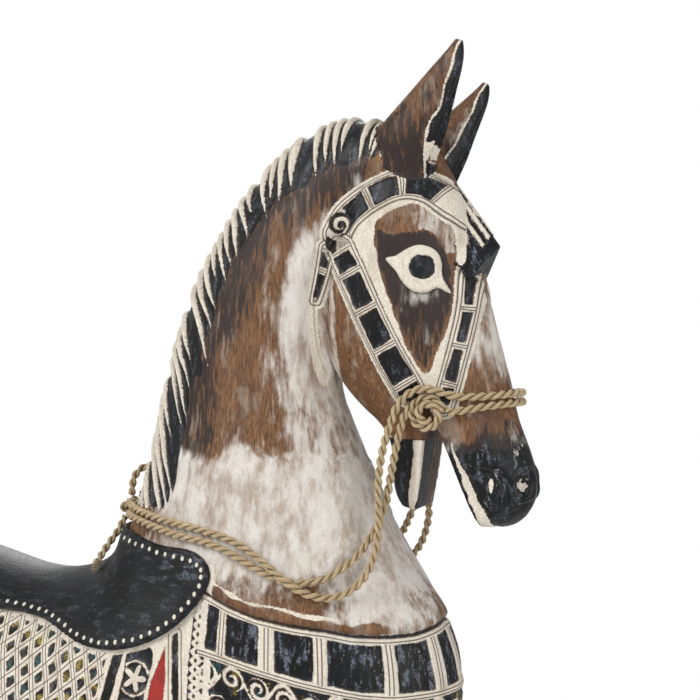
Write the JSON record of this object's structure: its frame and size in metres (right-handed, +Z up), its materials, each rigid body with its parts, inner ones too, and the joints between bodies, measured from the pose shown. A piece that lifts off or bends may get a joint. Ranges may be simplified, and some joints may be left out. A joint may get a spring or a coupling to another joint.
{
  "type": "carved wooden horse figurine",
  "caption": "Standing carved wooden horse with a raised neck, pricked ears, a carved saddle and a twisted rope bridle looped over its withers.",
  "frame": {"origin": "the floor under the middle of the horse, at the hooves' level", "axes": "+X the way the horse faces, +Y its left side, +Z up"},
  "size_m": [0.5582, 0.1602, 0.7838],
  "materials": {
    "washed_wood": "brown stained wood rubbed with a chalky off-white wash, satin",
    "painted_wood": "black paint on wood, worn and scratched, satin",
    "dowel_wood": "bare turned wood, matte",
    "rope": "laid natural-fibre rope, dry and matte"
  },
  "bodies": {
    "root": {"trunk": "washed_wood", "neck": "washed_wood", "head": "washed_wood", "ear_right": "washed_wood", "ear_left": "washed_wood", "leg_front_right": "washed_wood", "leg_front_left": "washed_wood", "leg_hind_right": "washed_wood", "leg_hind_left": "washed_wood", "tail": "washed_wood", "lower_jaw": "painted_wood", "forehead_peak": "painted_wood", "saddle": "painted_wood", "neck_dowels": "dowel_wood", "head_dowels": "dowel_wood", "leg_dowels": "dowel_wood", "ear_dowels": "dowel_wood", "jaw_dowel": "dowel_wood", "tail_dowel": "dowel_wood", "peak_dowel": "dowel_wood", "rein_outer": "rope", "rein_inner_right": "rope", "rein_inner_left": "rope", "noseband": "rope", "rein_loop": "rope", "rein_end": "rope", "cheek_knot_right": "rope", "cheek_knot_left": "rope", "withers_knot": "rope"}
  },
  "joints": []
}
